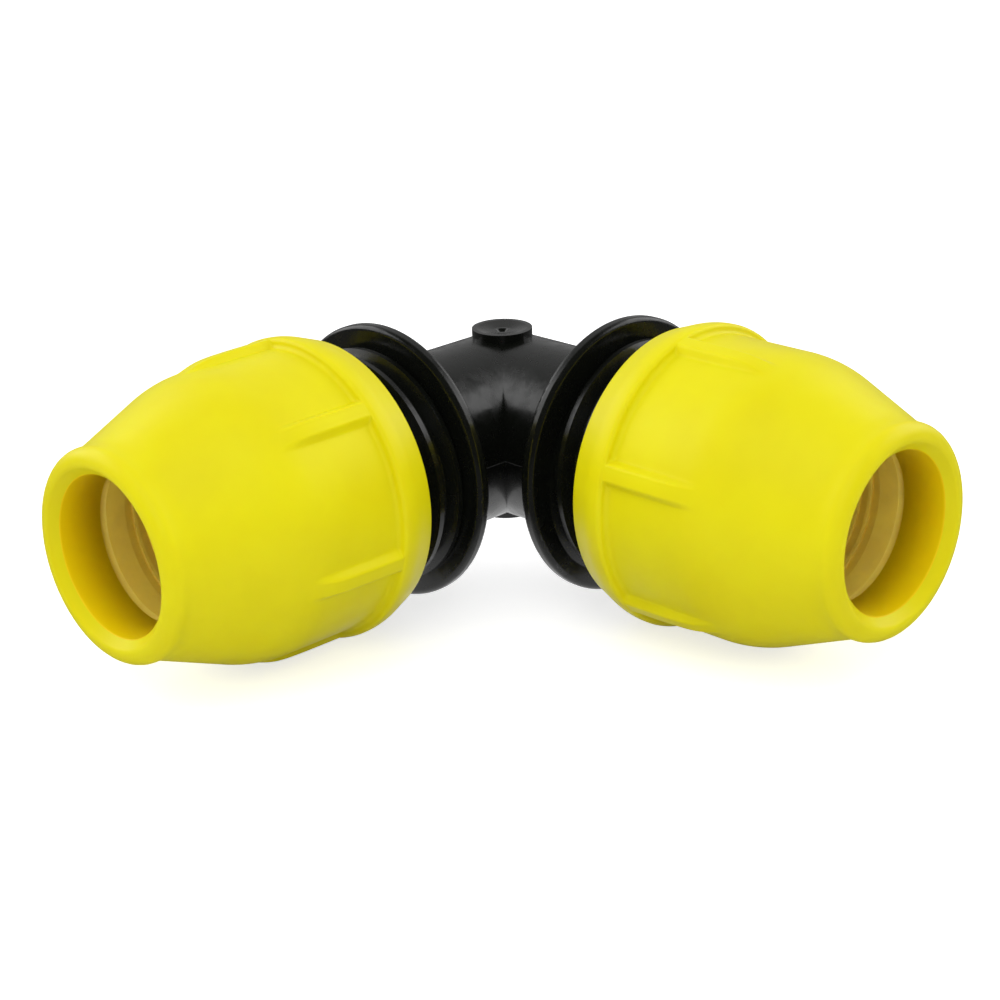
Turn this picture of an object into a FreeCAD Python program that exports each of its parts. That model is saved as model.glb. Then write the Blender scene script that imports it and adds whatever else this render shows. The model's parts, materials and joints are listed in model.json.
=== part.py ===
# Compression elbow for one inch polyethylene gas pipe.
# A black moulded elbow carries a threaded spigot on each arm, and a yellow domed nut screws on
# each spigot. Inside each nut a split grip ring holds the pipe, a thrust ring presses on the
# rubber seal, and a stiffener keeps the soft pipe round.
import FreeCAD, Part
import math
import os
import re
import Sketcher

# Driving sizes in millimetres and degrees. Distances are along an arm, from the point where the
# two arms' axes cross, unless the note says otherwise.
SIZES = {
    "pipe_diameter": (33.4, "outside diameter of the pipe"),
    "pipe_wall": (3.04, "wall of the pipe"),
    "pipe_clearance": (0.3, "room round the pipe in the nut's mouth"),
    "socket_clearance": (0.4, "room round the pipe in the elbow's socket"),
    "stop_distance": (24.0, "where the pipe stops"),
    "tube_wall": (3.2, "wall of the elbow's arms round the pipe's socket"),
    "passage_diameter": (24.0, "gas way through the elbow"),
    "flange_distance": (34.8, "back face of the flange"),
    "flange_thickness": (3.4, "flange along the arm"),
    "flange_height": (4.3, "how far the flange stands out past the thread"),
    "flange_rounding": (1.2, "flange's outer edges"),
    "flange_root": (2.0, "hollow rounding where the tube meets the flange"),
    "tight_gap": (2.0, "flange to the nut's back when the grip ring meets the thrust ring"),
    "spigot_wall": (3.0, "wall of the spigot round the seal's pocket"),
    "spigot_chamfer": (1.4, "lead-in at the spigot's end"),
    "thread_depth": (2.5, "height of the thread's ridge"),
    "thread_pitch": (5.3, "advance in one turn, right-handed"),
    "thread_inset": (5.2, "first turn of the spigot's thread, from the spigot's end"),
    "crest_width": (1.2, "top of the ridge"),
    "flank_run": (1.15, "each slope of the ridge, along the arm"),
    "thread_clearance": (0.5, "room between the two threads, across and along"),
    "seat_depth": (8.0, "pocket for the seal, from the spigot's end"),
    "seat_wall": (4.1, "how much wider the seal's pocket is than the pipe's radius"),
    "boss_diameter": (13.7, "moulding boss above and below the crossing"),
    "boss_height": (1.6, "boss above the tube"),
    "boss_rim": (1.1, "rim left round the boss's dish"),
    "dish_depth": (0.7, "hollow in the boss's face"),
    "dimple_diameter": (3.0, "gate mark in the middle of the dish"),
    "dimple_floor": (1.5, "bottom of the gate mark"),
    "dimple_depth": (0.7, "gate mark below the dish"),
    "nut_length": (60.5, "back face to the front of the lip"),
    "nut_wall": (4.2, "wall of the nut round its thread"),
    "rib_height": (2.0, "how far the nut's rim and ribs stand out"),
    "rim_drop": (2.3, "how far the rim slopes down to the nut's back"),
    "rim_slope": (6.4, "length of the rim's sloping back"),
    "rim_length": (9.5, "back face to the rim's step"),
    "rim_blend": (10.0, "rounding on top of the rim's slope"),
    "edge_rounding": (0.7, "the nut's outer edges"),
    "step_rounding": (1.0, "hollow rounding where the rim meets the panels"),
    "cone_start": (33.5, "where the cone would meet the panels, from the nut's back"),
    "dome_blend": (28.0, "rounding between panels and cone"),
    "lip_length": (5.5, "straight lip at the mouth"),
    "lip_wall": (5.6, "thickness of the lip"),
    "lip_rounding": (3.4, "rounding of the lip's outer edge"),
    "mouth_rounding": (1.2, "rounding of the mouth's edge"),
    "lip_blend": (9.0, "hollow rounding between cone and lip"),
    "rib_count": (6, "ribs round the nut"),
    "rib_angle": (8.0, "width of a rib, as an angle"),
    "rib_fall": (25.5, "where a rib's crest bends down, from the nut's back"),
    "rib_end": (34.5, "where the falling crest ends, inside the wall"),
    "rib_root": (1.5, "how deep a rib stands in the wall"),
    "rib_curve": (40.0, "rounding of the rib's crest"),
    "mouth_length": (11.8, "bore in front of the grip ring, with the lip's front"),
    "ring_front_wall": (3.3, "grip ring's thickness at its front"),
    "ring_back_wall": (8.7, "grip ring's thickness at its back"),
    "ring_length": (17.6, "grip ring"),
    "ring_clearance": (0.3, "room between the grip ring and its cone"),
    "ring_ease": (0.3, "how much wider the open grip ring is than the mouth's radius"),
    "ring_slot": (5.0, "gap where the grip ring is split"),
    "ring_chamfer": (1.4, "lead-in at the grip ring's front"),
    "tooth_count": (4, "grooves that leave the grip ring's teeth"),
    "tooth_pitch": (2.8, "from one tooth to the next"),
    "tooth_land": (0.7, "top of a tooth"),
    "tooth_depth": (0.7, "groove between the teeth"),
    "nut_thread_start": (4.16, "first turn of the nut's thread, from its back"),
    "nut_thread_length": (13.25, "advance of the nut's thread"),
    "nut_chamfer": (1.2, "lead-in at the nut's back"),
    "right_gap": (12.0, "flange to the back of the right nut"),
    "left_gap": (13.81, "flange to the back of the left nut"),
    "bush_thickness": (5.3, "thrust ring outside the spigot"),
    "bush_inset": (0.4, "how much lower the thrust ring's collar is than the spigot"),
    "bush_clearance": (0.25, "room round the thrust ring's nose"),
    "bush_chamfer": (1.0, "edge of the thrust ring's collar"),
    "seal_section": (4.0, "thickness of the seal ring"),
    "seal_squeeze": (0.2, "how far the seal reaches inside the pipe's surface"),
    "seal_clearance": (0.1, "room behind the seal and between seal and thrust ring"),
    "stiffener_wall": (1.6, "wall of the stiffener's tube"),
    "stiffener_reach": (22.0, "how far the stiffener's tip passes the spigot's end"),
    "stiffener_flange": (2.2, "thickness of the stiffener's flange"),
    "stiffener_clearance": (0.15, "room inside the pipe"),
    "stiffener_chamfer": (0.8, "lead-in at the stiffener's tip"),
}

# Lengths that follow from the sizes, as formulas in their names. The radii grow outwards from the
# pipe: socket, seal's pocket, spigot, thread, nut and ribs.
PIPE_RADIUS = "(pipe_diameter / 2)"
MOUTH_RADIUS = "(pipe_diameter / 2 + pipe_clearance)"
SOCKET_RADIUS = "(pipe_diameter / 2 + socket_clearance)"
SEAT_RADIUS = "(pipe_diameter / 2 + seat_wall)"
TUBE_RADIUS = "(%s + tube_wall)" % SOCKET_RADIUS
PASSAGE_RADIUS = "(passage_diameter / 2)"
BOSS_TOP = "(%s + boss_height)" % TUBE_RADIUS
BOSS_RADIUS = "(boss_diameter / 2)"
ROOT_RADIUS = "(%s + spigot_wall)" % SEAT_RADIUS
CREST_RADIUS = "(%s + thread_depth)" % ROOT_RADIUS
FLANGE_RADIUS = "(%s + flange_height)" % CREST_RADIUS
NUT_BORE_RADIUS = "(%s + thread_clearance)" % CREST_RADIUS
PANEL_RADIUS = "(%s + nut_wall)" % NUT_BORE_RADIUS
NUT_RADIUS = "(%s + rib_height)" % PANEL_RADIUS
LIP_RADIUS = "(%s + lip_wall)" % MOUTH_RADIUS
CONE_FRONT_RADIUS = "(%s + ring_front_wall)" % MOUTH_RADIUS
CONE_BACK_RADIUS = "(%s + ring_back_wall)" % MOUTH_RADIUS
BODY_REACH = "max(%s; %s)" % (NUT_RADIUS, FLANGE_RADIUS)

# Along the nut these are measured from its back, and along the arm from the crossing
LIP_START = "(nut_length - lip_length)"
RING_FRONT = "(nut_length - mouth_length)"
RING_BACK = "(nut_length - mouth_length - ring_length)"
FLANGE_FRONT = "(flange_distance + flange_thickness)"
SPIGOT_END = "(%s + tight_gap + %s - bush_thickness)" % (FLANGE_FRONT, RING_BACK)
SEAT_START = "(%s - seat_depth)" % SPIGOT_END
THREAD_END = "(%s - thread_inset)" % SPIGOT_END

# The part's origin is the middle of its base, so the crossing of the axes lies here
REACH = "(flange_distance + flange_thickness + {}_gap + nut_length)"
CROSSING = (
    "((" + BODY_REACH + " - " + REACH.format("right") + ") / 2)",
    "((" + REACH.format("left") + " - " + BODY_REACH + ") / 2)",
    BODY_REACH,
)

# The right arm points along +X and the left arm along -Y
ARMS = {
    "right": {"along": (1, 0), "yaw": 0, "slot_turn": 180},
    "left": {"along": (0, -1), "yaw": -90, "slot_turn": 0},
}

# A cut or a ridge reaches this far past the surface that it starts from
OVERLAP = 0.4
CLEAR = 1.0

doc = FreeCAD.newDocument("PipeElbow")
sheet = doc.addObject("Spreadsheet::Sheet", "Sizes")


def fill_sheet():
    """Write each size with its name and its meaning in one row of the sheet."""
    for row, (name, (size, meaning)) in enumerate(SIZES.items(), start=1):
        sheet.set("A%d" % row, name)
        sheet.set("B%d" % row, str(size))
        sheet.set("C%d" % row, meaning)
        sheet.setAlias("B%d" % row, name)
    doc.recompute()


def formula(words):
    """Turn the sizes' names in a formula into the sheet's cells."""
    return re.sub(r"[a-z_]+", lambda word: cell(word.group()), str(words))


def cell(word):
    """A size's cell, or the word itself where it is not a size."""
    if word in SIZES:
        return "Sizes." + word
    return word


def number(words):
    """The value of a formula."""
    answer = sheet.evalExpression(formula(words))
    return float(getattr(answer, "Value", answer))


def origin_feature(body, role):
    """One of a body's own origin planes or axes."""
    for feature in body.Origin.OriginFeatures:
        if feature.Role == role:
            return feature
    raise ValueError("no origin feature " + role)


def new_body(label):
    """An empty body whose label names its file."""
    body = doc.addObject("PartDesign::Body", "".join(part.title() for part in label.split("_")))
    body.Label = label
    return body


def new_sketch(body, name, plane="XY_Plane"):
    """A sketch on one of the body's own origin planes."""
    sketch = body.newObject("Sketcher::SketchObject", name)
    sketch.AttachmentSupport = (origin_feature(body, plane), "")
    sketch.MapMode = "FlatFace"
    return sketch


def bind(sketch, constraint, words):
    """Add a dimension to a sketch and bind it to a formula."""
    index = sketch.addConstraint(constraint)
    sketch.setExpression("Constraints[%d]" % index, formula(words))


def fix_point(sketch, geometry, point, corner):
    """Dimension a point of a sketch from the sketch's origin."""
    for axis, words in zip("XY", corner):
        kind = "Distance" + axis
        bind(sketch, Sketcher.Constraint(kind, geometry, point, number(words)), words)


def draw_outline(sketch, corners):
    """A closed outline. A corner is (x, y) or (x, y, rounding), each one a formula.
    A rounded corner stays in the sketch as a point where its two sides would meet."""
    points = [FreeCAD.Vector(number(corner[0]), number(corner[1]), 0) for corner in corners]
    ends = [tangent_points(points, corners, place) for place in range(len(corners))]
    sides = []
    for place in range(len(corners)):
        following = (place + 1) % len(corners)
        side = Part.LineSegment(ends[place][1], ends[following][0])
        sides.append(sketch.addGeometry(side, False))
    for place, corner in enumerate(corners):
        before, after = sides[place - 1], sides[place]
        if len(corner) == 2:
            sketch.addConstraint(Sketcher.Constraint("Coincident", before, 2, after, 1))
            fix_point(sketch, after, 1, corner)
        else:
            round_corner(sketch, before, after, points[place], ends[place], corner)


def tangent_points(points, corners, place):
    """Where a corner's rounding leaves its two sides."""
    corner = points[place]
    if len(corners[place]) == 2:
        return corner, corner
    towards = [(points[place - 1] - corner), (points[(place + 1) % len(points)] - corner)]
    for direction in towards:
        direction.normalize()
    half = towards[0].getAngle(towards[1]) / 2
    length = number(corners[place][2]) / math.tan(half)
    return corner + towards[0] * length, corner + towards[1] * length


def round_corner(sketch, before, after, corner, ends, words):
    """Join two sides of an outline with an arc that is tangent to both."""
    middle = (ends[0] + ends[1]) / 2
    bulge = (corner - middle).normalize()
    half_chord = (ends[1] - ends[0]).Length / 2
    radius = number(words[2])
    centre = middle - bulge * math.sqrt(radius ** 2 - half_chord ** 2)
    arc = Part.Arc(ends[0], centre + bulge * radius, ends[1])
    arc_index = sketch.addGeometry(arc, False)
    point_index = sketch.addGeometry(Part.Point(corner), True)
    # An arc's first point comes first against the clock, so it may be either end
    starts_first = sketch.getPoint(arc_index, 1).isEqual(ends[0], 1e-6)
    first, last = (1, 2) if starts_first else (2, 1)
    sketch.addConstraint(Sketcher.Constraint("Tangent", before, 2, arc_index, first))
    sketch.addConstraint(Sketcher.Constraint("Tangent", after, 1, arc_index, last))
    sketch.addConstraint(Sketcher.Constraint("PointOnObject", point_index, 1, before))
    sketch.addConstraint(Sketcher.Constraint("PointOnObject", point_index, 1, after))
    bind(sketch, Sketcher.Constraint("Radius", arc_index, radius), words[2])
    fix_point(sketch, point_index, 1, words)


def revolve(body, name, corners, kind="PartDesign::Revolution", axis="X_Axis", plane="XY_Plane"):
    """Turn an outline round an axis, as a solid or as a cut."""
    sketch = new_sketch(body, name + "_outline", plane)
    draw_outline(sketch, corners)
    turned = body.newObject(kind, name)
    turned.Profile = sketch
    turned.ReferenceAxis = (origin_feature(body, axis), [""])
    turned.Angle = 360
    return turned


def along_left(corners):
    """The same outline for the left arm: along the arm is -Y, and outwards is +X."""
    return [(corner[1], "-(%s)" % corner[0]) + tuple(corner[2:]) for corner in corners]


def screw(body, name, corners, pitch, length, axis="X_Axis", backwards=False):
    """Wind an outline into a right-handed ridge."""
    sketch = new_sketch(body, name + "_outline")
    draw_outline(sketch, corners)
    ridge = body.newObject("PartDesign::AdditiveHelix", name)
    ridge.Profile = sketch
    ridge.ReferenceAxis = (origin_feature(body, axis), [""])
    ridge.Mode = "pitch-height-angle"
    ridge.setExpression("Pitch", formula(pitch))
    ridge.setExpression("Height", formula(length))
    ridge.Reversed = backwards
    return ridge


def set_in_place(piece, arm, distance="0", roll="0", pitch="0"):
    """Bind a piece's place and turn on one arm to the sheet."""
    along = ARMS[arm]["along"]
    centre = ["%s + %d * (%s)" % (CROSSING[i], along[i], distance) for i in range(2)]
    position = "create(<<vector>>; %s; %s; %s)" % (centre[0], centre[1], CROSSING[2])
    turn = "create(<<rotation>>; %d; %s; %s)" % (ARMS[arm]["yaw"], pitch, roll)
    piece.setExpression("Placement", formula("create(<<placement>>; %s; %s)" % (position, turn)))


def arm_outline():
    """Outside of one arm: tube, flange and the spigot at the thread's root."""
    return [
        ("0", "0"),
        ("0", TUBE_RADIUS),
        ("flange_distance", TUBE_RADIUS, "flange_root"),
        ("flange_distance", FLANGE_RADIUS, "flange_rounding"),
        (FLANGE_FRONT, FLANGE_RADIUS, "flange_rounding"),
        (FLANGE_FRONT, ROOT_RADIUS),
        (SPIGOT_END + " - spigot_chamfer", ROOT_RADIUS),
        (SPIGOT_END, ROOT_RADIUS + " - spigot_chamfer"),
        (SPIGOT_END, "0"),
    ]


def bore_outline():
    """Inside of one arm: gas way, pipe's socket and the seal's pocket."""
    return [
        ("0", "0"),
        ("0", PASSAGE_RADIUS),
        ("stop_distance", PASSAGE_RADIUS),
        ("stop_distance", SOCKET_RADIUS),
        (SEAT_START, SOCKET_RADIUS),
        (SEAT_START, SEAT_RADIUS),
        (SPIGOT_END + " + %s" % CLEAR, SEAT_RADIUS),
        (SPIGOT_END + " + %s" % CLEAR, "0"),
    ]


def spigot_ridge():
    """Section of the spigot's thread, at its end towards the mouth."""
    foot = "(crest_width / 2 + flank_run * (1 + %s / thread_depth))" % OVERLAP
    return [
        (THREAD_END + " - " + foot, ROOT_RADIUS + " - %s" % OVERLAP),
        (THREAD_END + " - crest_width / 2", CREST_RADIUS),
        (THREAD_END + " + crest_width / 2", CREST_RADIUS),
        (THREAD_END + " + " + foot, ROOT_RADIUS + " - %s" % OVERLAP),
    ]


def boss_dish(side):
    """Section of the hollow and the gate mark in a boss's face: side is 1 above, -1 below."""
    sign = "" if side > 0 else "-"
    rim = BOSS_RADIUS + " - boss_rim"
    floor = BOSS_TOP + " - dish_depth"
    heights = {
        "air": "%s(%s + %s)" % (sign, BOSS_TOP, CLEAR),
        "face": "%s%s" % (sign, BOSS_TOP),
        "floor": "%s(%s)" % (sign, floor),
        "pit": "%s(%s - dimple_depth)" % (sign, floor),
    }
    return [
        ("0", heights["air"]),
        (rim, heights["air"]),
        (rim, heights["face"]),
        ("dimple_diameter / 2 + dish_depth", heights["floor"]),
        ("dimple_diameter / 2", heights["floor"]),
        ("dimple_floor / 2", heights["pit"]),
        ("0", heights["pit"]),
    ]


def ball(body, name, radius, kind):
    """A ball round the crossing, solid or cut, from a half disc turned about the left arm."""
    sketch = new_sketch(body, name + "_outline")
    size = number(radius)
    top, bottom = FreeCAD.Vector(0, size, 0), FreeCAD.Vector(0, -size, 0)
    arc = sketch.addGeometry(Part.Arc(bottom, FreeCAD.Vector(size, 0, 0), top), False)
    chord = sketch.addGeometry(Part.LineSegment(top, bottom), False)
    sketch.addConstraint(Sketcher.Constraint("Coincident", arc, 2, chord, 1))
    sketch.addConstraint(Sketcher.Constraint("Coincident", arc, 1, chord, 2))
    sketch.addConstraint(Sketcher.Constraint("Coincident", arc, 3, -1, 1))
    sketch.addConstraint(Sketcher.Constraint("PointOnObject", arc, 1, -2))
    sketch.addConstraint(Sketcher.Constraint("PointOnObject", arc, 2, -2))
    bind(sketch, Sketcher.Constraint("Radius", arc, size), radius)
    turned = body.newObject(kind, name)
    turned.Profile = sketch
    turned.ReferenceAxis = (origin_feature(body, "Y_Axis"), [""])
    turned.Angle = 360


def elbow_body():
    """The black moulding: two arms on a round heel, two bosses and a thread on each spigot."""
    body = new_body("elbow_body")
    revolve(body, "right_arm", arm_outline())
    revolve(body, "left_arm", along_left(arm_outline()), axis="Y_Axis")
    ball(body, "heel", TUBE_RADIUS, "PartDesign::Revolution")
    disc = new_sketch(body, "boss_disc")
    ring = disc.addGeometry(Part.Circle(FreeCAD.Vector(0, 0, 0), FreeCAD.Vector(0, 0, 1), 1), False)
    disc.addConstraint(Sketcher.Constraint("Coincident", ring, 3, -1, 1))
    bind(disc, Sketcher.Constraint("Radius", ring, number(BOSS_RADIUS)), BOSS_RADIUS)
    bosses = body.newObject("PartDesign::Pad", "bosses")
    bosses.Profile = disc
    bosses.Midplane = True
    bosses.setExpression("Length", formula("2 * " + BOSS_TOP))
    reach = THREAD_END + " - flange_distance - flange_thickness / 2"
    screw(body, "right_thread", spigot_ridge(), "thread_pitch", reach, backwards=True)
    screw(body, "left_thread", along_left(spigot_ridge()), "thread_pitch", reach, axis="Y_Axis")
    groove = "PartDesign::Groove"
    ball(body, "corner_way", PASSAGE_RADIUS, groove)
    revolve(body, "right_bore", bore_outline(), groove)
    revolve(body, "left_bore", along_left(bore_outline()), groove, axis="Y_Axis")
    for name, side in (("top_dish", 1), ("bottom_dish", -1)):
        revolve(body, name, boss_dish(side), groove, axis="Z_Axis", plane="XZ_Plane")
    set_in_place(body, "right")
    return body


def nut_outline():
    """Section of a nut without its ribs: rim, panels, cone, lip, bore, ring's cone and skirt."""
    return [
        ("0", NUT_BORE_RADIUS + " + nut_chamfer"),
        ("0", NUT_RADIUS + " - rim_drop", "edge_rounding"),
        ("rim_slope", NUT_RADIUS, "rim_blend"),
        ("rim_length", NUT_RADIUS, "min(edge_rounding; 0.4 * rib_height)"),
        ("rim_length", PANEL_RADIUS, "min(step_rounding; 0.5 * rib_height)"),
        ("cone_start", PANEL_RADIUS, "dome_blend"),
        (LIP_START, LIP_RADIUS, "lip_blend"),
        ("nut_length", LIP_RADIUS, "lip_rounding"),
        ("nut_length", MOUTH_RADIUS, "mouth_rounding"),
        (RING_FRONT, MOUTH_RADIUS),
        (RING_FRONT, CONE_FRONT_RADIUS),
        (RING_BACK, CONE_BACK_RADIUS),
        (RING_BACK, NUT_BORE_RADIUS),
        ("nut_chamfer", NUT_BORE_RADIUS),
    ]


def rib_outline():
    """Section of a rib: its crest is level with the rim, then falls into the cone."""
    root = PANEL_RADIUS + " - rib_root"
    return [
        ("rim_length - %s" % OVERLAP, root),
        ("rim_length - %s" % OVERLAP, NUT_RADIUS),
        ("rib_fall", NUT_RADIUS, "rib_curve"),
        ("rib_end", root),
    ]


def nut_ridge():
    """Section of the nut's thread, which runs in the middle of the spigot's groove."""
    half_groove = "((thread_pitch - crest_width) / 2 - flank_run)"
    widening = "(flank_run * thread_clearance / thread_depth)"
    half_crest = "(" + half_groove + " + " + widening + " - thread_clearance)"
    half_foot = "(" + half_crest + " + flank_run * (1 + %s / thread_depth))" % OVERLAP
    crest = ROOT_RADIUS + " + thread_clearance"
    foot = NUT_BORE_RADIUS + " + %s" % OVERLAP
    return [
        ("nut_thread_start - " + half_foot, foot),
        ("nut_thread_start - " + half_crest, crest),
        ("nut_thread_start + " + half_crest, crest),
        ("nut_thread_start + " + half_foot, foot),
    ]


def nut(arm):
    """A yellow nut, turned as far round as its place on the thread needs."""
    body = new_body(arm + "_nut")
    revolve(body, "shell", nut_outline())
    rib = revolve(body, "rib", rib_outline())
    rib.Midplane = True
    rib.setExpression("Angle", formula("rib_angle"))
    doc.recompute()
    ribs = body.newObject("PartDesign::PolarPattern", "ribs")
    ribs.Originals = [rib]
    ribs.Axis = (origin_feature(body, "X_Axis"), [""])
    ribs.Angle = 360
    ribs.setExpression("Occurrences", formula("rib_count"))
    body.Tip = ribs
    screw(body, "thread", nut_ridge(), "thread_pitch", "nut_thread_length")
    back = "(%s + %s_gap)" % (FLANGE_FRONT, arm)
    advance = "(%s + nut_thread_start - %s - thread_pitch / 2)" % (back, THREAD_END)
    set_in_place(body, arm, back, roll="360 * %s / thread_pitch" % advance)
    return body


def ring_outline():
    """Section of the grip ring: a wedge that follows the nut's inner cone."""
    front = "(ring_length - ring_clearance)"
    inner = MOUTH_RADIUS + " + ring_ease"
    return [
        ("0", inner),
        ("0", CONE_BACK_RADIUS + " - ring_clearance"),
        (front, CONE_FRONT_RADIUS + " - ring_clearance"),
        (front, inner + " + ring_chamfer"),
        (front + " - ring_chamfer", inner),
    ]


def tooth_groove():
    """Section of one groove in the grip ring's bore: the edge behind it bites the pipe."""
    inner = MOUTH_RADIUS + " + ring_ease"
    return [
        ("tooth_land", inner + " - %s" % CLEAR),
        ("tooth_land", inner + " + tooth_depth"),
        ("tooth_pitch", inner),
        ("tooth_pitch", inner + " - %s" % CLEAR),
    ]


def slot_section():
    """Everything of the grip ring that its split takes away."""
    return [
        ("-%s" % CLEAR, MOUTH_RADIUS + " - %s" % CLEAR),
        ("-%s" % CLEAR, CONE_BACK_RADIUS + " + %s" % CLEAR),
        ("ring_length + %s" % CLEAR, CONE_BACK_RADIUS + " + %s" % CLEAR),
        ("ring_length + %s" % CLEAR, MOUTH_RADIUS + " - %s" % CLEAR),
    ]


def grip_ring(arm):
    """A split ring with teeth inside, seated in the nut's cone."""
    body = new_body(arm + "_grip_ring")
    revolve(body, "wedge", ring_outline())
    tooth = revolve(body, "tooth", tooth_groove(), "PartDesign::Groove")
    doc.recompute()
    teeth = body.newObject("PartDesign::LinearPattern", "teeth")
    teeth.Originals = [tooth]
    teeth.Direction = (origin_feature(body, "X_Axis"), [""])
    teeth.setExpression("Length", formula("tooth_pitch * (tooth_count - 1)"))
    teeth.setExpression("Occurrences", formula("tooth_count"))
    body.Tip = teeth
    split = revolve(body, "split", slot_section(), "PartDesign::Groove")
    split.Midplane = True
    split.setExpression("Angle", formula("2 * asin(ring_slot / 2 / %s)" % MOUTH_RADIUS))
    back = "%s + %s_gap + %s" % (FLANGE_FRONT, arm, RING_BACK)
    set_in_place(body, arm, back, roll=ARMS[arm]["slot_turn"])
    return body


def thrust_ring(arm):
    """A collar against the spigot's end, with a nose that reaches in to the seal."""
    inner = SOCKET_RADIUS
    nose = "(seat_depth - seal_section - 2 * seal_clearance)"
    outer = ROOT_RADIUS + " - bush_inset"
    body = new_body(arm + "_thrust_ring")
    revolve(body, "collar", [
        ("-" + nose, inner),
        ("-" + nose, SEAT_RADIUS + " - bush_clearance"),
        ("0", SEAT_RADIUS + " - bush_clearance"),
        ("0", outer),
        ("bush_thickness - bush_chamfer", outer),
        ("bush_thickness", outer + " - bush_chamfer"),
        ("bush_thickness", inner),
    ])
    set_in_place(body, arm, SPIGOT_END)
    return body


def seal(arm):
    """A rubber ring in the pocket at the spigot's end."""
    ring = doc.addObject("Part::Torus", arm.title() + "Seal")
    ring.Label = arm + "_seal"
    ring.setExpression("Radius1", formula(PIPE_RADIUS + " - seal_squeeze + seal_section / 2"))
    ring.setExpression("Radius2", formula("seal_section / 2"))
    set_in_place(ring, arm, SEAT_START + " + seal_clearance + seal_section / 2", pitch="90")
    return ring


def stiffener(arm):
    """A thin tube for the inside of the pipe, with a flange that the pipe's end pushes on."""
    outer = "(%s - pipe_wall - stiffener_clearance)" % PIPE_RADIUS
    inner = outer + " - stiffener_wall"
    length = "(%s + stiffener_reach - stop_distance)" % SPIGOT_END
    body = new_body(arm + "_stiffener")
    revolve(body, "tube", [
        ("0", inner),
        ("0", PIPE_RADIUS),
        ("stiffener_flange", PIPE_RADIUS),
        ("stiffener_flange", outer),
        (length + " - stiffener_chamfer", outer),
        (length, outer + " - stiffener_chamfer"),
        (length, inner),
    ])
    set_in_place(body, arm, "stop_distance")
    return body


def check_document():
    """Stop if anything in the document failed to build."""
    for thing in doc.Objects:
        if "Invalid" in thing.State or "Error" in thing.State:
            raise ValueError("%s failed: %s" % (thing.Label, thing.State))


def write_piece(piece):
    """Check one piece's shape and write it to its own file."""
    shape = piece.Shape
    if shape.isNull() or not shape.isValid() or len(shape.Solids) != 1:
        raise ValueError(piece.Label + " is not one valid solid")
    shape.exportStep("parts/%s.step" % piece.Label)
    print("%-18s %9.1f mm3 %4d faces" % (piece.Label, shape.Volume, len(shape.Faces)))


def main():
    fill_sheet()
    pieces = [elbow_body()]
    for arm in ARMS:
        for make in (nut, grip_ring, thrust_ring, seal, stiffener):
            pieces.append(make(arm))
    doc.recompute()
    check_document()
    os.makedirs("parts", exist_ok=True)
    for piece in pieces:
        write_piece(piece)


main()
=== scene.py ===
# %% [markdown]
# A compression elbow for plastic gas pipe, seen as on a maker's page: a glossy black moulded
# elbow with a big yellow nut screwed on each end. The measured model is loaded as a fixed frame,
# so this file only has to give every surface its form and finish, and light it.

import json
import math

import bmesh
import bpy
from mathutils import Matrix, Vector


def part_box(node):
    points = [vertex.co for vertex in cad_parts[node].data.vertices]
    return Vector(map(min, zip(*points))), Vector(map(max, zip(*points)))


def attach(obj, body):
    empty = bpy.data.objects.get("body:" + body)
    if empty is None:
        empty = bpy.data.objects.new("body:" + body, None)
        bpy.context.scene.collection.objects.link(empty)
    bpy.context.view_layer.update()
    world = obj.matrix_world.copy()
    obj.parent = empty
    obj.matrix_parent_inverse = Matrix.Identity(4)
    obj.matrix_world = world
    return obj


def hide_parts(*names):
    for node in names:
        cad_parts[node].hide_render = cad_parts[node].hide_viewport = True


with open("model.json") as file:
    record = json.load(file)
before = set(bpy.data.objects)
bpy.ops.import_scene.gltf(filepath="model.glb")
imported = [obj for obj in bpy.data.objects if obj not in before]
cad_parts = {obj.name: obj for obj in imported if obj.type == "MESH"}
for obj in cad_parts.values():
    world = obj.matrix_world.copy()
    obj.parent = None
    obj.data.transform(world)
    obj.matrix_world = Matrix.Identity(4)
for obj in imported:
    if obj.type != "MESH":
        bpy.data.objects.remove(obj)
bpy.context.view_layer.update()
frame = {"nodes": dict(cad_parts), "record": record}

# %% [markdown]
# Both arms have a mouth that takes a pipe, and the record of the frame says where each mouth is
# and which way it points. The two axes cross inside the elbow. Everything here is placed from
# that crossing, so nothing has to be fitted by eye.

# %% Find the crossing of the two arms
MM = 0.001
mounts = {mount["name"]: mount for mount in frame["record"]["mounts"]}
right_mouth = Vector(mounts["right_mouth"]["pos_m"])
left_mouth = Vector(mounts["left_mouth"]["pos_m"])
crossing = Vector((left_mouth.x, right_mouth.y, right_mouth.z))
outward = {"right": Vector((1, 0, 0)), "left": Vector((0, -1, 0))}
print("crossing", crossing)

# %% [markdown]
# The camera looks down into the corner between the two nuts, almost along the bisector of the
# arms. Its angle, distance and lens were worked out from the ovals of the mouths and the rims, so
# the picture has the real perspective: the mouths are nearer and look larger than the elbow.

# %% Place the camera
VIEW_TURN = math.radians(45.65)
VIEW_HEIGHT = math.radians(20.91)
VIEW_TILT = math.radians(-1.81)
VIEW_DISTANCE = 514.04 * MM
VIEW_ASIDE = -1.1 * MM
VIEW_LOWER = -18.7 * MM
LENS_MM = 80.5
SENSOR_MM = 36.0


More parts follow.
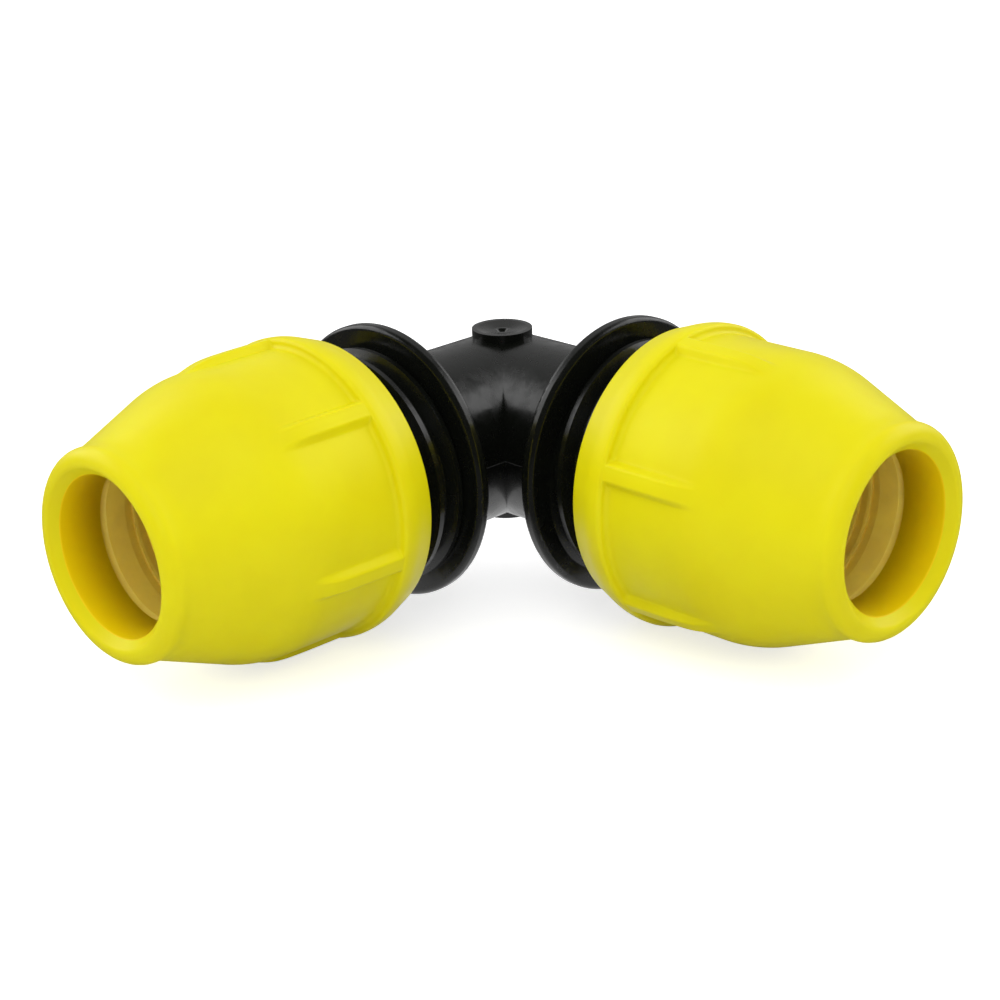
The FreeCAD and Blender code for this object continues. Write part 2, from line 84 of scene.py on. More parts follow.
def add_camera():
    """A camera at the set distance from the crossing, turned, raised and slightly tilted."""
    back = Vector((math.sin(VIEW_TURN) * math.cos(VIEW_HEIGHT),
                   -math.cos(VIEW_TURN) * math.cos(VIEW_HEIGHT),
                   math.sin(VIEW_HEIGHT)))
    level = Vector((math.cos(VIEW_TURN), math.sin(VIEW_TURN), 0))
    upright = back.cross(level)
    across = level * math.cos(VIEW_TILT) + upright * math.sin(VIEW_TILT)
    up = back.cross(across)
    place = crossing + back * VIEW_DISTANCE + across * VIEW_ASIDE + up * VIEW_LOWER
    data = bpy.data.cameras.new("camera")
    data.lens = LENS_MM
    data.sensor_width = SENSOR_MM
    camera = bpy.data.objects.new("camera", data)
    bpy.context.collection.objects.link(camera)
    turned = Matrix((across, up, back)).transposed().to_4x4()
    camera.matrix_world = Matrix.Translation(place) @ turned
    bpy.context.scene.camera = camera
    return camera


camera = add_camera()
print("camera at", camera.location)

# %% [markdown]
# Materials are small node trees. A few helpers add a node, set its plain values and make the two
# things that every moulded plastic here needs: a roughness that wanders a little, and a faint
# unevenness of the surface. That keeps each finish short enough to read as a recipe.

# %% Helpers for materials
NOISE_LOW = 0.35
NOISE_HIGH = 0.65


def new_material(name):
    """A material with its node tree and its Principled shader."""
    material = bpy.data.materials.new(name)
    material.use_nodes = True
    tree = material.node_tree
    shader = next(node for node in tree.nodes if node.type == "BSDF_PRINCIPLED")
    return material, tree, shader


def add_node(tree, kind, **settings):
    """A node with its options set."""
    node = tree.nodes.new(kind)
    for key, value in settings.items():
        setattr(node, key, value)
    return node


def set_inputs(node, values):
    """Set plain values on a node's named inputs."""
    for name, value in values.items():
        node.inputs[name].default_value = value


def object_coordinates(tree):
    """The place on the object, which a pattern is laid out on."""
    return add_node(tree, "ShaderNodeTexCoord").outputs["Object"]


def noise(tree, where, size, detail):
    """A cloudy pattern whose lumps are about size metres across."""
    texture = add_node(tree, "ShaderNodeTexNoise")
    set_inputs(texture, {"Scale": 1 / size, "Detail": detail})
    tree.links.new(where, texture.inputs["Vector"])
    return texture.outputs["Fac"]


def remap(tree, value, low, high, start=NOISE_LOW, end=NOISE_HIGH):
    """Stretch the range from start to end, where a noise mostly lies, to one from low to high."""
    node = add_node(tree, "ShaderNodeMapRange")
    set_inputs(node, {"From Min": start, "From Max": end, "To Min": low, "To Max": high})
    tree.links.new(value, node.inputs["Value"])
    return node.outputs["Result"]


def uneven_sheen(tree, shader, where, size, detail, low, high):
    """A roughness that wanders between low and high."""
    sheen = remap(tree, noise(tree, where, size, detail), low, high)
    tree.links.new(sheen, shader.inputs["Roughness"])


def uneven_skin(tree, shader, where, size, detail, depth):
    """A surface that wanders in and out by depth metres."""
    node = add_node(tree, "ShaderNodeBump")
    set_inputs(node, {"Distance": depth, "Strength": 1.0})
    tree.links.new(noise(tree, where, size, detail), node.inputs["Height"])
    tree.links.new(node.outputs["Normal"], shader.inputs["Normal"])


def clouded_colour(tree, shader, where, size, first, second):
    """A base colour that drifts between two colours."""
    node = add_node(tree, "ShaderNodeMix", data_type="RGBA")
    set_inputs(node, {"A": (*first, 1), "B": (*second, 1)})
    clouds = remap(tree, noise(tree, where, size, detail=3), 0, 1)
    tree.links.new(clouds, node.inputs["Factor"])
    tree.links.new(node.outputs["Result"], shader.inputs["Base Color"])


print("material helpers ready")

# %% [markdown]
# The nuts are moulded in a strong lemon yellow. The plastic is slightly see-through, so light
# enters it and comes out nearby, which softens every edge and turns the inside of the mouth
# orange. Subsurface scattering does that, and the mouth also gets a brighter, more orange copy of
# the yellow: painted light for the glow that bounces round inside it and comes through its wall.
# The skin is satin, with a faint orange peel.

# %% Yellow plastic of the nuts
YELLOW = (0.84, 0.765, 0.004)
YELLOW_DEEP = (0.80, 0.71, 0.003)
# Brighter and more orange than the outside: painted light for the glow bounced round inside the
# mouth and through its wall.
PAINTED_BOUNCE_YELLOW = (0.93, 0.69, 0.002)
LIGHT_DEPTH_OUTSIDE = 1.5 * MM
LIGHT_DEPTH_INSIDE = 4 * MM


def yellow_plastic(name, colour, cloud_colour, light_depth):
    """Satin yellow plastic that light enters to the given depth."""
    material, tree, shader = new_material(name)
    where = object_coordinates(tree)
    clouded_colour(tree, shader, where, size=22 * MM, first=colour, second=cloud_colour)
    uneven_sheen(tree, shader, where, size=6 * MM, detail=4, low=0.36, high=0.44)
    uneven_skin(tree, shader, where, size=0.9 * MM, detail=2, depth=0.012 * MM)
    set_inputs(shader, {
        "Subsurface Weight": 0.25,
        "Subsurface Radius": (1.0, 0.75, 0.1),
        "Subsurface Scale": light_depth,
        "Specular IOR Level": 0.18,
    })
    return material


yellow = yellow_plastic("yellow_plastic", YELLOW, YELLOW_DEEP, LIGHT_DEPTH_OUTSIDE)
# The mouth's own copy of the yellow, with painted bounce light in its colour.
yellow_painted_bounce = yellow_plastic("yellow_painted_bounce", PAINTED_BOUNCE_YELLOW, PAINTED_BOUNCE_YELLOW, LIGHT_DEPTH_INSIDE)
print("made", yellow.name, "and", yellow_painted_bounce.name)

# %% [markdown]
# The elbow is black polyethylene from a polished mould. It is almost a mirror, but the plastic
# has shrunk a little as it cooled, so reflections waver. Two scales of noise do that: slow waves
# in the surface and a finer change in the roughness.

# %% Black plastic of the elbow
BLACK = (0.0042, 0.0048, 0.0036)


def black_plastic():
    """Gloss black with wavering reflections."""
    material, tree, shader = new_material("black_plastic")
    where = object_coordinates(tree)
    set_inputs(shader, {"Base Color": (*BLACK, 1), "IOR": 1.5})
    uneven_sheen(tree, shader, where, size=3 * MM, detail=5, low=0.17, high=0.3)
    uneven_skin(tree, shader, where, size=5 * MM, detail=3, depth=0.06 * MM)
    return material


black = black_plastic()
print("made", black.name)

# %% [markdown]
# Inside each nut sits a split ring that bites the pipe. It is hard uncoloured plastic, cloudy
# like horn, and its colour is a painted orange tan that stands for the nut's yellow light bounced
# onto it. The thrust ring and the stiffener are plain white, and the seal is soft black rubber.

# %% Plastics and rubber inside the nuts
# The ring's colour is painted: an orange tan for the nut's yellow light bounced onto it.
RING_PAINTED_BOUNCE = (0.98, 0.74, 0.12)
RING_PAINTED_BOUNCE_DEEP = tuple(0.9 * channel for channel in RING_PAINTED_BOUNCE)
WHITE = (0.78, 0.78, 0.75)
RUBBER = (0.02, 0.02, 0.021)


def ring_plastic_painted_bounce():
    """Uncoloured plastic with light deep inside it, tinted with painted yellow bounce light."""
    material, tree, shader = new_material("natural_plastic")
    where = object_coordinates(tree)
    clouded_colour(tree, shader, where, size=5 * MM, first=RING_PAINTED_BOUNCE, second=RING_PAINTED_BOUNCE_DEEP)
    uneven_skin(tree, shader, where, size=1.2 * MM, detail=2, depth=0.02 * MM)
    set_inputs(shader, {
        "Roughness": 0.42,
        "Subsurface Weight": 0.6,
        "Subsurface Radius": (1.0, 0.9, 0.7),
        "Subsurface Scale": 2 * MM,
    })
    return material


def white_plastic():
    """Plain white, a little dull."""
    material, tree, shader = new_material("white_plastic")
    where = object_coordinates(tree)
    set_inputs(shader, {"Base Color": (*WHITE, 1)})
    uneven_sheen(tree, shader, where, size=4 * MM, detail=3, low=0.42, high=0.52)
    uneven_skin(tree, shader, where, size=1.0 * MM, detail=2, depth=0.02 * MM)
    return material


def seal_rubber():
    """Dull black rubber."""
    material, tree, shader = new_material("seal_rubber")
    where = object_coordinates(tree)
    set_inputs(shader, {"Base Color": (*RUBBER, 1)})
    uneven_sheen(tree, shader, where, size=2 * MM, detail=3, low=0.55, high=0.7)
    uneven_skin(tree, shader, where, size=0.4 * MM, detail=3, depth=0.03 * MM)
    return material


ring_painted_bounce = ring_plastic_painted_bounce()
white = white_plastic()
rubber = seal_rubber()
print("made", ring_painted_bounce.name, white.name, rubber.name)

# %% [markdown]
# Every piece of the frame gets its plastic by its name. The left and the right arm hold the same
# pieces, so the side is dropped from the name and one short table serves both.

# %% Dress the frame's pieces
MATERIAL_OF = {
    "elbow_body": black,
    "nut": yellow,
    "grip_ring": ring_painted_bounce,
    "thrust_ring": white,
    "stiffener": white,
    "seal": rubber,
}


def dress(thing, material):
    """Give an object one material in place of all that it has."""
    thing.data.materials.clear()
    thing.data.materials.append(material)


for name, node in frame["nodes"].items():
    dress(node, MATERIAL_OF[name.removeprefix("left_").removeprefix("right_")])
print("dressed", len(frame["nodes"]), "nodes")

# %% [markdown]
# Geometry Nodes trees are arithmetic on fields: a value that differs from vertex to vertex. A
# small class lets that arithmetic be written as ordinary sums, and every sum adds its node to the
# tree. A tree's sizes come in through named sockets, so that one tree can serve several pieces.

# %% Helpers for Geometry Nodes


class Field:
    """A value in a node tree that is added, multiplied or compared like a number."""

    def __init__(self, tree, socket):
        self.tree = tree
        self.socket = socket

    def math(self, operation, *others):
        return calculate(self.tree, operation, self, *others)

    def __add__(self, other):
        return self.math("ADD", other)

    def __sub__(self, other):
        return self.math("SUBTRACT", other)

    def __rsub__(self, other):
        return calculate(self.tree, "SUBTRACT", other, self)

    def __mul__(self, other):
        return self.math("MULTIPLY", other)

    def __truediv__(self, other):
        return self.math("DIVIDE", other)

    def __rtruediv__(self, other):
        return calculate(self.tree, "DIVIDE", other, self)

    def __gt__(self, other):
        return self.math("GREATER_THAN", other)


def join(tree, value, socket):
    """Link a field to a socket, or set the socket to a plain value."""
    if isinstance(value, Field):
        tree.links.new(value.socket, socket)
    else:
        socket.default_value = value


def calculate(tree, operation, *values):
    """One sum over fields and plain numbers."""
    node = add_node(tree, "ShaderNodeMath", operation=operation)
    for value, socket in zip(values, node.inputs):
        join(tree, value, socket)
    return Field(tree, node.outputs[0])


def step(tree, kind, inputs=None, output=0, **settings):
    """Add a node, set its options, join its inputs and give one of its outputs."""
    node = add_node(tree, kind, **settings)
    for name, value in (inputs or {}).items():
        join(tree, value, node.inputs[name])
    return Field(tree, node.outputs[output])


def geometry_tree(name, sockets):
    """A tree with a geometry output and named inputs, given back as fields by name."""
    tree = bpy.data.node_groups.new(name, "GeometryNodeTree")
    tree.interface.new_socket("Geometry", in_out="OUTPUT", socket_type="NodeSocketGeometry")
    for title, kind in sockets.items():
        tree.interface.new_socket(title, in_out="INPUT", socket_type="NodeSocket" + kind)
    given = tree.nodes.new("NodeGroupInput")
    return tree, {title: Field(tree, given.outputs[title]) for title in sockets}


def give(tree, geometry):
    """End a tree with its result."""
    output = tree.nodes.new("NodeGroupOutput")
    join(tree, geometry, output.inputs[0])


def finished(tree, geometry, material, smooth):
    """Shade the geometry, make it real and give it a material."""
    shaded = step(tree, "GeometryNodeSetShadeSmooth",
                  {"Geometry": geometry, "Shade Smooth": smooth})
    whole = step(tree, "GeometryNodeRealizeInstances", {"Geometry": shaded})
    return step(tree, "GeometryNodeSetMaterial", {"Geometry": whole, "Material": material})


def grow(name, tree, values):
    """Run a tree on the given values and return what it makes as a plain mesh."""
    seed = bpy.data.objects.new(name, bpy.data.meshes.new(name))
    bpy.context.collection.objects.link(seed)
    modifier = seed.modifiers.new(name, "NODES")
    modifier.node_group = tree
    for item in tree.interface.items_tree:
        if item.in_out == "INPUT":
            modifier[item.identifier] = values[item.name]
    bpy.context.view_layer.update()
    result = seed.evaluated_get(bpy.context.evaluated_depsgraph_get())
    mesh = bpy.data.meshes.new_from_object(result)
    seed.modifiers.remove(modifier)
    bpy.data.objects.remove(seed)
    return mesh


print("node tree helpers ready")

# %% [markdown]
# Each nut is a moulding that one rule describes: a section turned round the axis, with ribs that
# swell out of it. The section starts as a list of corners. From the back it runs over the wide
# rim, the panel, the dome and the lip to the mouth, and returns inside along the cone of the
# split ring and the bore of the thread. Its main sizes come from the frame.

# %% List the corners of the nut's section
nut_low, nut_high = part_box("right_nut")
NUT_LENGTH = nut_high.x - nut_low.x
RIM = (nut_high.z - nut_low.z) / 2
PANEL = RIM - 2.0 * MM
BACK_EDGE = RIM - 2.3 * MM
NUT_BORE = PANEL - 4.2 * MM
MOUTH = mounts["right_mouth"]["dims"]["r_mm"] * MM
LIP = MOUTH + 5.6 * MM
RIM_SLOPE = 6.4 * MM
RIM_LENGTH = 9.5 * MM
DOME_START = 33.5 * MM
LIP_LENGTH = 5.5 * MM
LEAD_IN = 2.0 * MM
CONE_FRONT = NUT_LENGTH - 11.8 * MM
CONE_BACK = CONE_FRONT - 17.6 * MM
CONE_NARROW = MOUTH + 3.3 * MM
CONE_WIDE = MOUTH + 8.7 * MM
CHAMFER = 1.2 * MM

# Each corner says how far along it is, how far out, and the radius that rounds it.
OUTSIDE = [
    (0, BACK_EDGE, 0.7 * MM),
    (RIM_SLOPE, RIM, 10 * MM),
    (RIM_LENGTH, RIM, 0.9 * MM),
    (RIM_LENGTH, PANEL, 1.05 * MM),
    (DOME_START, PANEL, 28 * MM),
    (NUT_LENGTH - LIP_LENGTH, LIP, 9 * MM),
    (NUT_LENGTH, LIP, 3.0 * MM),
    (NUT_LENGTH, MOUTH + LEAD_IN, 1.2 * MM),
    (NUT_LENGTH - LEAD_IN, MOUTH, 0.5 * MM),
]
INSIDE = [
    (CONE_FRONT, MOUTH, 0),
    (CONE_FRONT, CONE_NARROW, 0),
    (CONE_BACK, CONE_WIDE, 0),
    (CONE_BACK, NUT_BORE, 0),
    (CHAMFER, NUT_BORE, 0),
    (0, NUT_BORE + CHAMFER, 0),
]
print("nut", round(NUT_LENGTH / MM, 2), "mm long, rim", round(2 * RIM / MM, 2), "mm across")

# %% [markdown]
# Then the corners become points. They lie close together on the outside, where the ribs pass and
# light runs along the surface, and only at the corners inside. A mesh of loose vertices carries
# them to the node tree, which looks them up by number.

# %% Draw the section of the nut
POINT_GAP = 0.75 * MM
FEWEST_ARC_STEPS = 4


def rounded_corner(before, corner, after, rounding):
    """Points of the arc that rounds a corner, or the corner alone where it is sharp."""
    if rounding == 0:
        return [corner]
    back = (before - corner).normalized()
    on = (after - corner).normalized()
    half = back.angle(on) / 2
    centre = corner + (back + on).normalized() * rounding / math.sin(half)
    reach = rounding / math.tan(half)
    start = corner + back * reach - centre
    swept = math.pi - 2 * half
    turn = math.copysign(swept, back.x * on.y - back.y * on.x)
    steps = max(FEWEST_ARC_STEPS, math.ceil(swept * rounding / POINT_GAP))
    turns = [-turn * done / steps for done in range(steps + 1)]
    return [centre + Matrix.Rotation(angle, 2) @ start for angle in turns]


def section_points():
    """The closed section of the nut, with extra points on the outside's long stretches."""
    corners = OUTSIDE + INSIDE
    flat = [Vector(corner[:2]) for corner in corners]
    points = []
    for place, (_, _, rounding) in enumerate(corners):
        following = flat[(place + 1) % len(flat)]
        run = rounded_corner(flat[place - 1], flat[place], following, rounding)
        if points and place < len(OUTSIDE):
            steps = math.ceil((run[0] - points[-1]).length / POINT_GAP)
            last = points[-1]
            points.extend(last.lerp(run[0], done / steps) for done in range(1, steps))
        points.extend(run)
    return points


def point_cloud(name, points):
    """A mesh of loose vertices that a node tree can look points up in."""
    mesh = bpy.data.meshes.new(name)
    mesh.from_pydata([(point.x, point.y, 0) for point in points], [], [])
    cloud = bpy.data.objects.new(name, mesh)
    bpy.context.collection.objects.link(cloud)
    return cloud


section = point_cloud("nut_section", section_points())
print("section of", len(section.data.vertices), "points")

# %% [markdown]
# A rib lifts the surface to its crest, with a smooth flank on both sides, so that it grows out of
# the panel as a moulding's rib does. The crest starts just below the rim and falls into the dome.
# Two functions say that as sums on fields: how far a place is from the nearest rib, and how high
# the rib stands there. Columns lie closest on the flanks, where the surface bends most.

# %% Describe a rib
RIB_COUNT = 6
RIB_HALF = math.radians(4.0)
RIB_FLANK = math.radians(3.2)
RIB_CREST = RIM - 0.15 * MM
RIB_START = RIM_LENGTH - 1.5 * MM
RIB_FALL = 27.5 * MM
RIB_SLOPE = 0.41
RIB_BEND = 3.6 * MM
RIB_BLEND = 0.4 * MM
CREST_STEPS = 4
FLANK_STEPS = 11
PANEL_STEPS = 16
SECTOR_STEPS = 2 * (CREST_STEPS + FLANK_STEPS + PANEL_STEPS)


def ramp(tree, value, start, end, height, kind="LINEAR"):
    """Nothing before start, the full height after end, and a ramp between them."""
    return step(tree, "ShaderNodeMapRange", interpolation_type=kind, inputs={
        "Value": value, "From Min": start, "From Max": end, "To Min": 0.0, "To Max": height})


def angle_from_rib(tree, column, given):
    """The angle of a column, and how far it is from the middle of the nearest rib."""
    rib = (column / SECTOR_STEPS).math("FLOOR")
    signed = column - rib * SECTOR_STEPS - SECTOR_STEPS / 2
    count = signed.math("ABSOLUTE")
    crest_by = float(CREST_STEPS)
    flank_by = float(CREST_STEPS + FLANK_STEPS)
    half_sector = math.pi / given["Ribs"]
    crest_end = given["Half Width"] - given["Flank"] / 2
    rest = half_sector - crest_end - given["Flank"]
    beside = (ramp(tree, count, 0.0, crest_by, crest_end)
              + ramp(tree, count, crest_by, flank_by, given["Flank"])
              + ramp(tree, count, flank_by, SECTOR_STEPS / 2, rest))
    angle = rib * half_sector * 2 + beside * signed.math("SIGN")
    return angle, beside


def rib_lift(tree, along, radius, beside, given):
    """How far the rib raises the surface at this place."""
    past = along - given["Fall"]
    bend = (past * past + given["Bend"] * given["Bend"]).math("SQRT")
    crest = given["Crest"] - (past + bend) * 0.5 * given["Slope"]
    above = (crest - radius).math("SMOOTH_MAX", 0.0, RIB_BLEND)
    crest_end = given["Half Width"] - given["Flank"] / 2
    outside_rib = ramp(tree, beside, crest_end, crest_end + given["Flank"], 1.0, "SMOOTHSTEP")
    on_shell = (radius > given["Bore"]) * (along > given["Start"])
    return above * on_shell * (1 - outside_rib)


print(RIB_COUNT, "ribs,", SECTOR_STEPS * RIB_COUNT, "columns round the nut")

# %% [markdown]
# The tree makes a flat grid with a row for each point of the section and a column for each step
# round the nut. Every vertex looks up its point, works out its angle and moves there, and the
# seams are merged. The skin of the mouth gets a yellow of its own, brighter and nearer to orange:
# painted light for the glow that bounces round inside the mouth and comes through its wall.

# %% Build the tree of the ribbed nut
NUT_SOCKETS = {
    "Section": "Object", "Ribs": "Int", "Half Width": "Float", "Flank": "Float",
    "Crest": "Float", "Start": "Float", "Fall": "Float", "Slope": "Float", "Bend": "Float",
    "Bore": "Float", "Mouth": "Float", "Outside": "Material", "Inside": "Material",
}
SEAM_GAP = 0.002 * MM


def looked_up_point(tree, cloud, index):
    """The two coordinates of one point of a drawn outline."""
    where = step(tree, "GeometryNodeInputPosition")
    point = step(tree, "GeometryNodeSampleIndex", data_type="FLOAT_VECTOR",
                 inputs={"Geometry": cloud, "Value": where, "Index": index})
    parts = step(tree, "ShaderNodeSeparateXYZ", {"Vector": point}).socket.node.outputs
    return Field(tree, parts["X"]), Field(tree, parts["Y"])


def wrapped(tree, grid, along, radius, angle):
    """A grid wrapped round the X axis, with its seams closed and its faces outward."""
    place = step(tree, "ShaderNodeCombineXYZ", {
        "X": along, "Y": radius * angle.math("COSINE"), "Z": radius * angle.math("SINE")})
    moved = step(tree, "GeometryNodeSetPosition", {"Geometry": grid, "Position": place})
    closed = step(tree, "GeometryNodeMergeByDistance",
                  {"Geometry": moved, "Distance": SEAM_GAP})
    return step(tree, "GeometryNodeFlipFaces", {"Mesh": closed})


def painted(tree, geometry, given):
    """Smooth shading, one material outside and, in the mouth, one with painted bounce light."""
    where = step(tree, "GeometryNodeInputPosition")
    flat = step(tree, "ShaderNodeVectorMath", {0: where, 1: (0, 1, 1)}, operation="MULTIPLY")
    off_axis = step(tree, "ShaderNodeVectorMath", {0: flat}, "Value", operation="LENGTH")
    skin = finished(tree, geometry, given["Outside"], True)
    return step(tree, "GeometryNodeSetMaterial", {
        "Geometry": skin, "Material": given["Inside"], "Selection": given["Mouth"] > off_axis})


def nut_tree():
    """A section turned round the axis, with ribs."""
    tree, given = geometry_tree("ribbed_nut", NUT_SOCKETS)
    drawn = step(tree, "GeometryNodeObjectInfo", {"Object": given["Section"]}, "Geometry")
    count = step(tree, "GeometryNodeAttributeDomainSize", {"Geometry": drawn}, "Point Count")
    columns = given["Ribs"] * SECTOR_STEPS + 1
    grid = step(tree, "GeometryNodeMeshGrid",
                {"Vertices X": count + 1, "Vertices Y": columns}, "Mesh")
    index = step(tree, "GeometryNodeInputIndex")
    row = ((index + 0.5) / columns).math("FLOOR")
    column = index - row * columns
    along, radius = looked_up_point(tree, drawn, row.math("FLOORED_MODULO", count))
    angle, beside = angle_from_rib(tree, column, given)
    whole = radius + rib_lift(tree, along, radius, beside, given)
    turned = wrapped(tree, grid, along, whole, angle)
    give(tree, painted(tree, turned, given))
    return tree


ribbed_nut = nut_tree()
print("nut tree of", len(ribbed_nut.nodes), "nodes")

# %% [markdown]
# The nut holds on by a coarse thread, and its half of that is a ridge of two and a half turns on
# the bore. A second tree carries the ridge's profile along a helix. The first and last rows of
# the grid shrink to a point, so the ridge ends closed.

# %% Build the tree of the thread ridge
PITCH = 5.3 * MM
THREAD_START = 4.16 * MM
THREAD_LENGTH = 13.25 * MM
RIDGE_OVERLAP = 0.4 * MM
RIDGE_DEPTH = 2.5 * MM + RIDGE_OVERLAP
RIDGE_CREST_HALF = 0.63 * MM
RIDGE_FOOT_HALF = 1.97 * MM
RIDGE_SOCKETS = {
    "Profile": "Object", "Turns": "Float", "Length": "Float", "Start": "Float",
    "Root": "Float", "Outside": "Material",
}
TURN_STEPS = 72
RIDGE_PROFILE = [
    Vector((-RIDGE_FOOT_HALF, 0)),
    Vector((-RIDGE_CREST_HALF, RIDGE_DEPTH)),
    Vector((RIDGE_CREST_HALF, RIDGE_DEPTH)),
    Vector((RIDGE_FOOT_HALF, 0)),
]


def ridge_tree():
    """A profile carried along a right-handed helix round the local X axis, pointed at its ends."""
    tree, given = geometry_tree("thread_ridge", RIDGE_SOCKETS)
    count = given["Turns"] * TURN_STEPS
    columns = len(RIDGE_PROFILE) + 1
    grid = step(tree, "GeometryNodeMeshGrid",
                {"Vertices X": count + 1, "Vertices Y": columns}, "Mesh")
    index = step(tree, "GeometryNodeInputIndex")
    row = ((index + 0.5) / columns).math("FLOOR")
    corner = (index - row * columns).math("FLOORED_MODULO", float(len(RIDGE_PROFILE)))
    drawn = step(tree, "GeometryNodeObjectInfo", {"Object": given["Profile"]}, "Geometry")
    across, depth = looked_up_point(tree, drawn, corner)
    body = (row > 0.5) * (count - row > 0.5)
    share = row / count
    along = given["Start"] + share * given["Length"] + across * body
    radius = given["Root"] - depth * body
    angle = share * given["Turns"] * math.tau
    wound = wrapped(tree, grid, along, radius, angle)
    give(tree, finished(tree, wound, given["Outside"], False))
    return tree


thread_ridge = ridge_tree()
print("ridge of", THREAD_LENGTH / PITCH, "turns")

# %% [markdown]
# Both trees run once, on the sizes above, and give the meshes of one nut that lies along the X
# axis with its back at the origin. Both nuts are copies of it.

# %% Grow one nut and its ridge
RIBS_FROM = NUT_BORE + 1 * MM
# The mouth's painted bounce light reaches out to this radius.
BOUNCE_PAINT_TO = MOUTH + 0.3 * MM

ridge_profile = point_cloud("ridge_profile", RIDGE_PROFILE)
ribbed_mesh = grow("ribbed_nut", ribbed_nut, {
    "Section": section, "Ribs": RIB_COUNT, "Half Width": RIB_HALF, "Flank": RIB_FLANK,
    "Crest": RIB_CREST, "Start": RIB_START, "Fall": RIB_FALL, "Slope": RIB_SLOPE,
    "Bend": RIB_BEND, "Bore": RIBS_FROM, "Mouth": BOUNCE_PAINT_TO,
    "Outside": yellow, "Inside": yellow_painted_bounce,
})
ridge_mesh = grow("ridge", thread_ridge, {
    "Profile": ridge_profile, "Turns": THREAD_LENGTH / PITCH, "Length": THREAD_LENGTH,
    "Start": THREAD_START, "Root": NUT_BORE + RIDGE_OVERLAP, "Outside": yellow,
})
for helper in (section, ridge_profile):
    bpy.data.objects.remove(helper)
print("nut mesh", len(ribbed_mesh.polygons), "faces, ridge", len(ridge_mesh.polygons))

# %% [markdown]
# How far a nut is screwed on decides how its ribs stand, because its ridge has to meet the
# elbow's thread. So both nuts get their turn from how far along the thread the frame has them,
# and not from a guess.

# %% Place both nuts
THREAD_END = 60.8 * MM


def add_piece(name, mesh, body, stands_for):
    """Put a finished mesh in the scene, in place of the frame's nodes that it stands for."""
    piece = bpy.data.objects.new(name, mesh)
    bpy.context.collection.objects.link(piece)
    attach(piece, body)
    if stands_for:
        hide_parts(*stands_for)
    return piece


def merged(name, parts):
    """One mesh from several, each with its own materials."""
    objects = [bpy.data.objects.new(name, part) for part in parts]
    for thing in objects:
        bpy.context.collection.objects.link(thing)
    with bpy.context.temp_override(active_object=objects[0], selected_editable_objects=objects):
        bpy.ops.object.join()
    mesh = objects[0].data
    bpy.data.objects.remove(objects[0])
    return mesh


def nut_place(side):
    """Where a nut's back stands and how its ribs are turned, from the frame."""
    low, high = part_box(side + "_nut")
    back_point = low.x - crossing.x if side == "right" else crossing.y - high.y
    roll = math.tau * (back_point + THREAD_START - THREAD_END - PITCH / 2) / PITCH
    facing = 0 if side == "right" else -math.pi / 2
    return (Matrix.Translation(crossing + outward[side] * back_point)
            @ Matrix.Rotation(facing, 4, "Z") @ Matrix.Rotation(roll, 4, "X"))


for side in ("right", "left"):
    mesh = merged(side + "_ribbed_nut", [ribbed_mesh.copy(), ridge_mesh.copy()])
    mesh.transform(nut_place(side))
    add_piece(side + "_ribbed_nut", mesh, side + "_nut_body", [side + "_nut"])
print("nuts placed")

# %% [markdown]
# The elbow comes out of a mould in two halves that meet level with both axes, and a fine raised
# line stays where they met. It is cut from the elbow itself: a copy of its skin is sliced at that
# level, the slice along the tubes is kept, and a tree lays a thin round bead on it.

# %% Find the parting line on the elbow
TUBE = MOUTH + 3.3 * MM
TUBE_LENGTH = 34.6 * MM
TUBE_TOLERANCE = 0.5 * MM
SAME_POINT = 0.001 * MM
SHORTEST_EDGE = 0.05 * MM


def on_tube(point):
    """True on the outside of either tube, short of the flanges."""
    x, y = point.x - crossing.x, point.y - crossing.y
    from_right_arm = math.hypot(min(x, 0), y)
    from_left_arm = math.hypot(x, max(y, 0))
    outside = min(from_right_arm, from_left_arm) > TUBE - TUBE_TOLERANCE
    return outside and x < TUBE_LENGTH and -y < TUBE_LENGTH


def cut_line():
    """The elbow's outline at the level where the halves of its mould met."""
    skin = bmesh.new()
    skin.from_mesh(frame["nodes"]["elbow_body"].data)
    bmesh.ops.remove_doubles(skin, verts=skin.verts, dist=SAME_POINT)
    whole = skin.verts[:] + skin.edges[:] + skin.faces[:]
    cut = bmesh.ops.bisect_plane(skin, geom=whole, plane_co=crossing, plane_no=(0, 0, 1))
    kept = {item for item in cut["geom_cut"] if isinstance(item, bmesh.types.BMEdge)
            and all(on_tube(corner.co) for corner in item.verts)}
    others = [edge for edge in skin.edges if edge not in kept]
    bmesh.ops.delete(skin, geom=others, context="EDGES")
    bmesh.ops.remove_doubles(skin, verts=skin.verts, dist=SHORTEST_EDGE)
    mesh = bpy.data.meshes.new("parting_line")
    skin.to_mesh(mesh)
    skin.free()
    line = bpy.data.objects.new("parting_line", mesh)
    bpy.context.collection.objects.link(line)
    return line


parting_line = cut_line()
print("parting line of", len(parting_line.data.edges), "edges")

# %% [markdown]
# The tree turns the line's edges into curves and carries a small ring along them. The bead is
# sunk by half in the elbow, so only a fine raised line shows.

# %% Lay the bead of the parting line
BEAD_RADIUS = 0.13 * MM
BEAD_SIDES = 8
BEAD_SOCKETS = {"Line": "Object", "Radius": "Float", "Outside": "Material"}


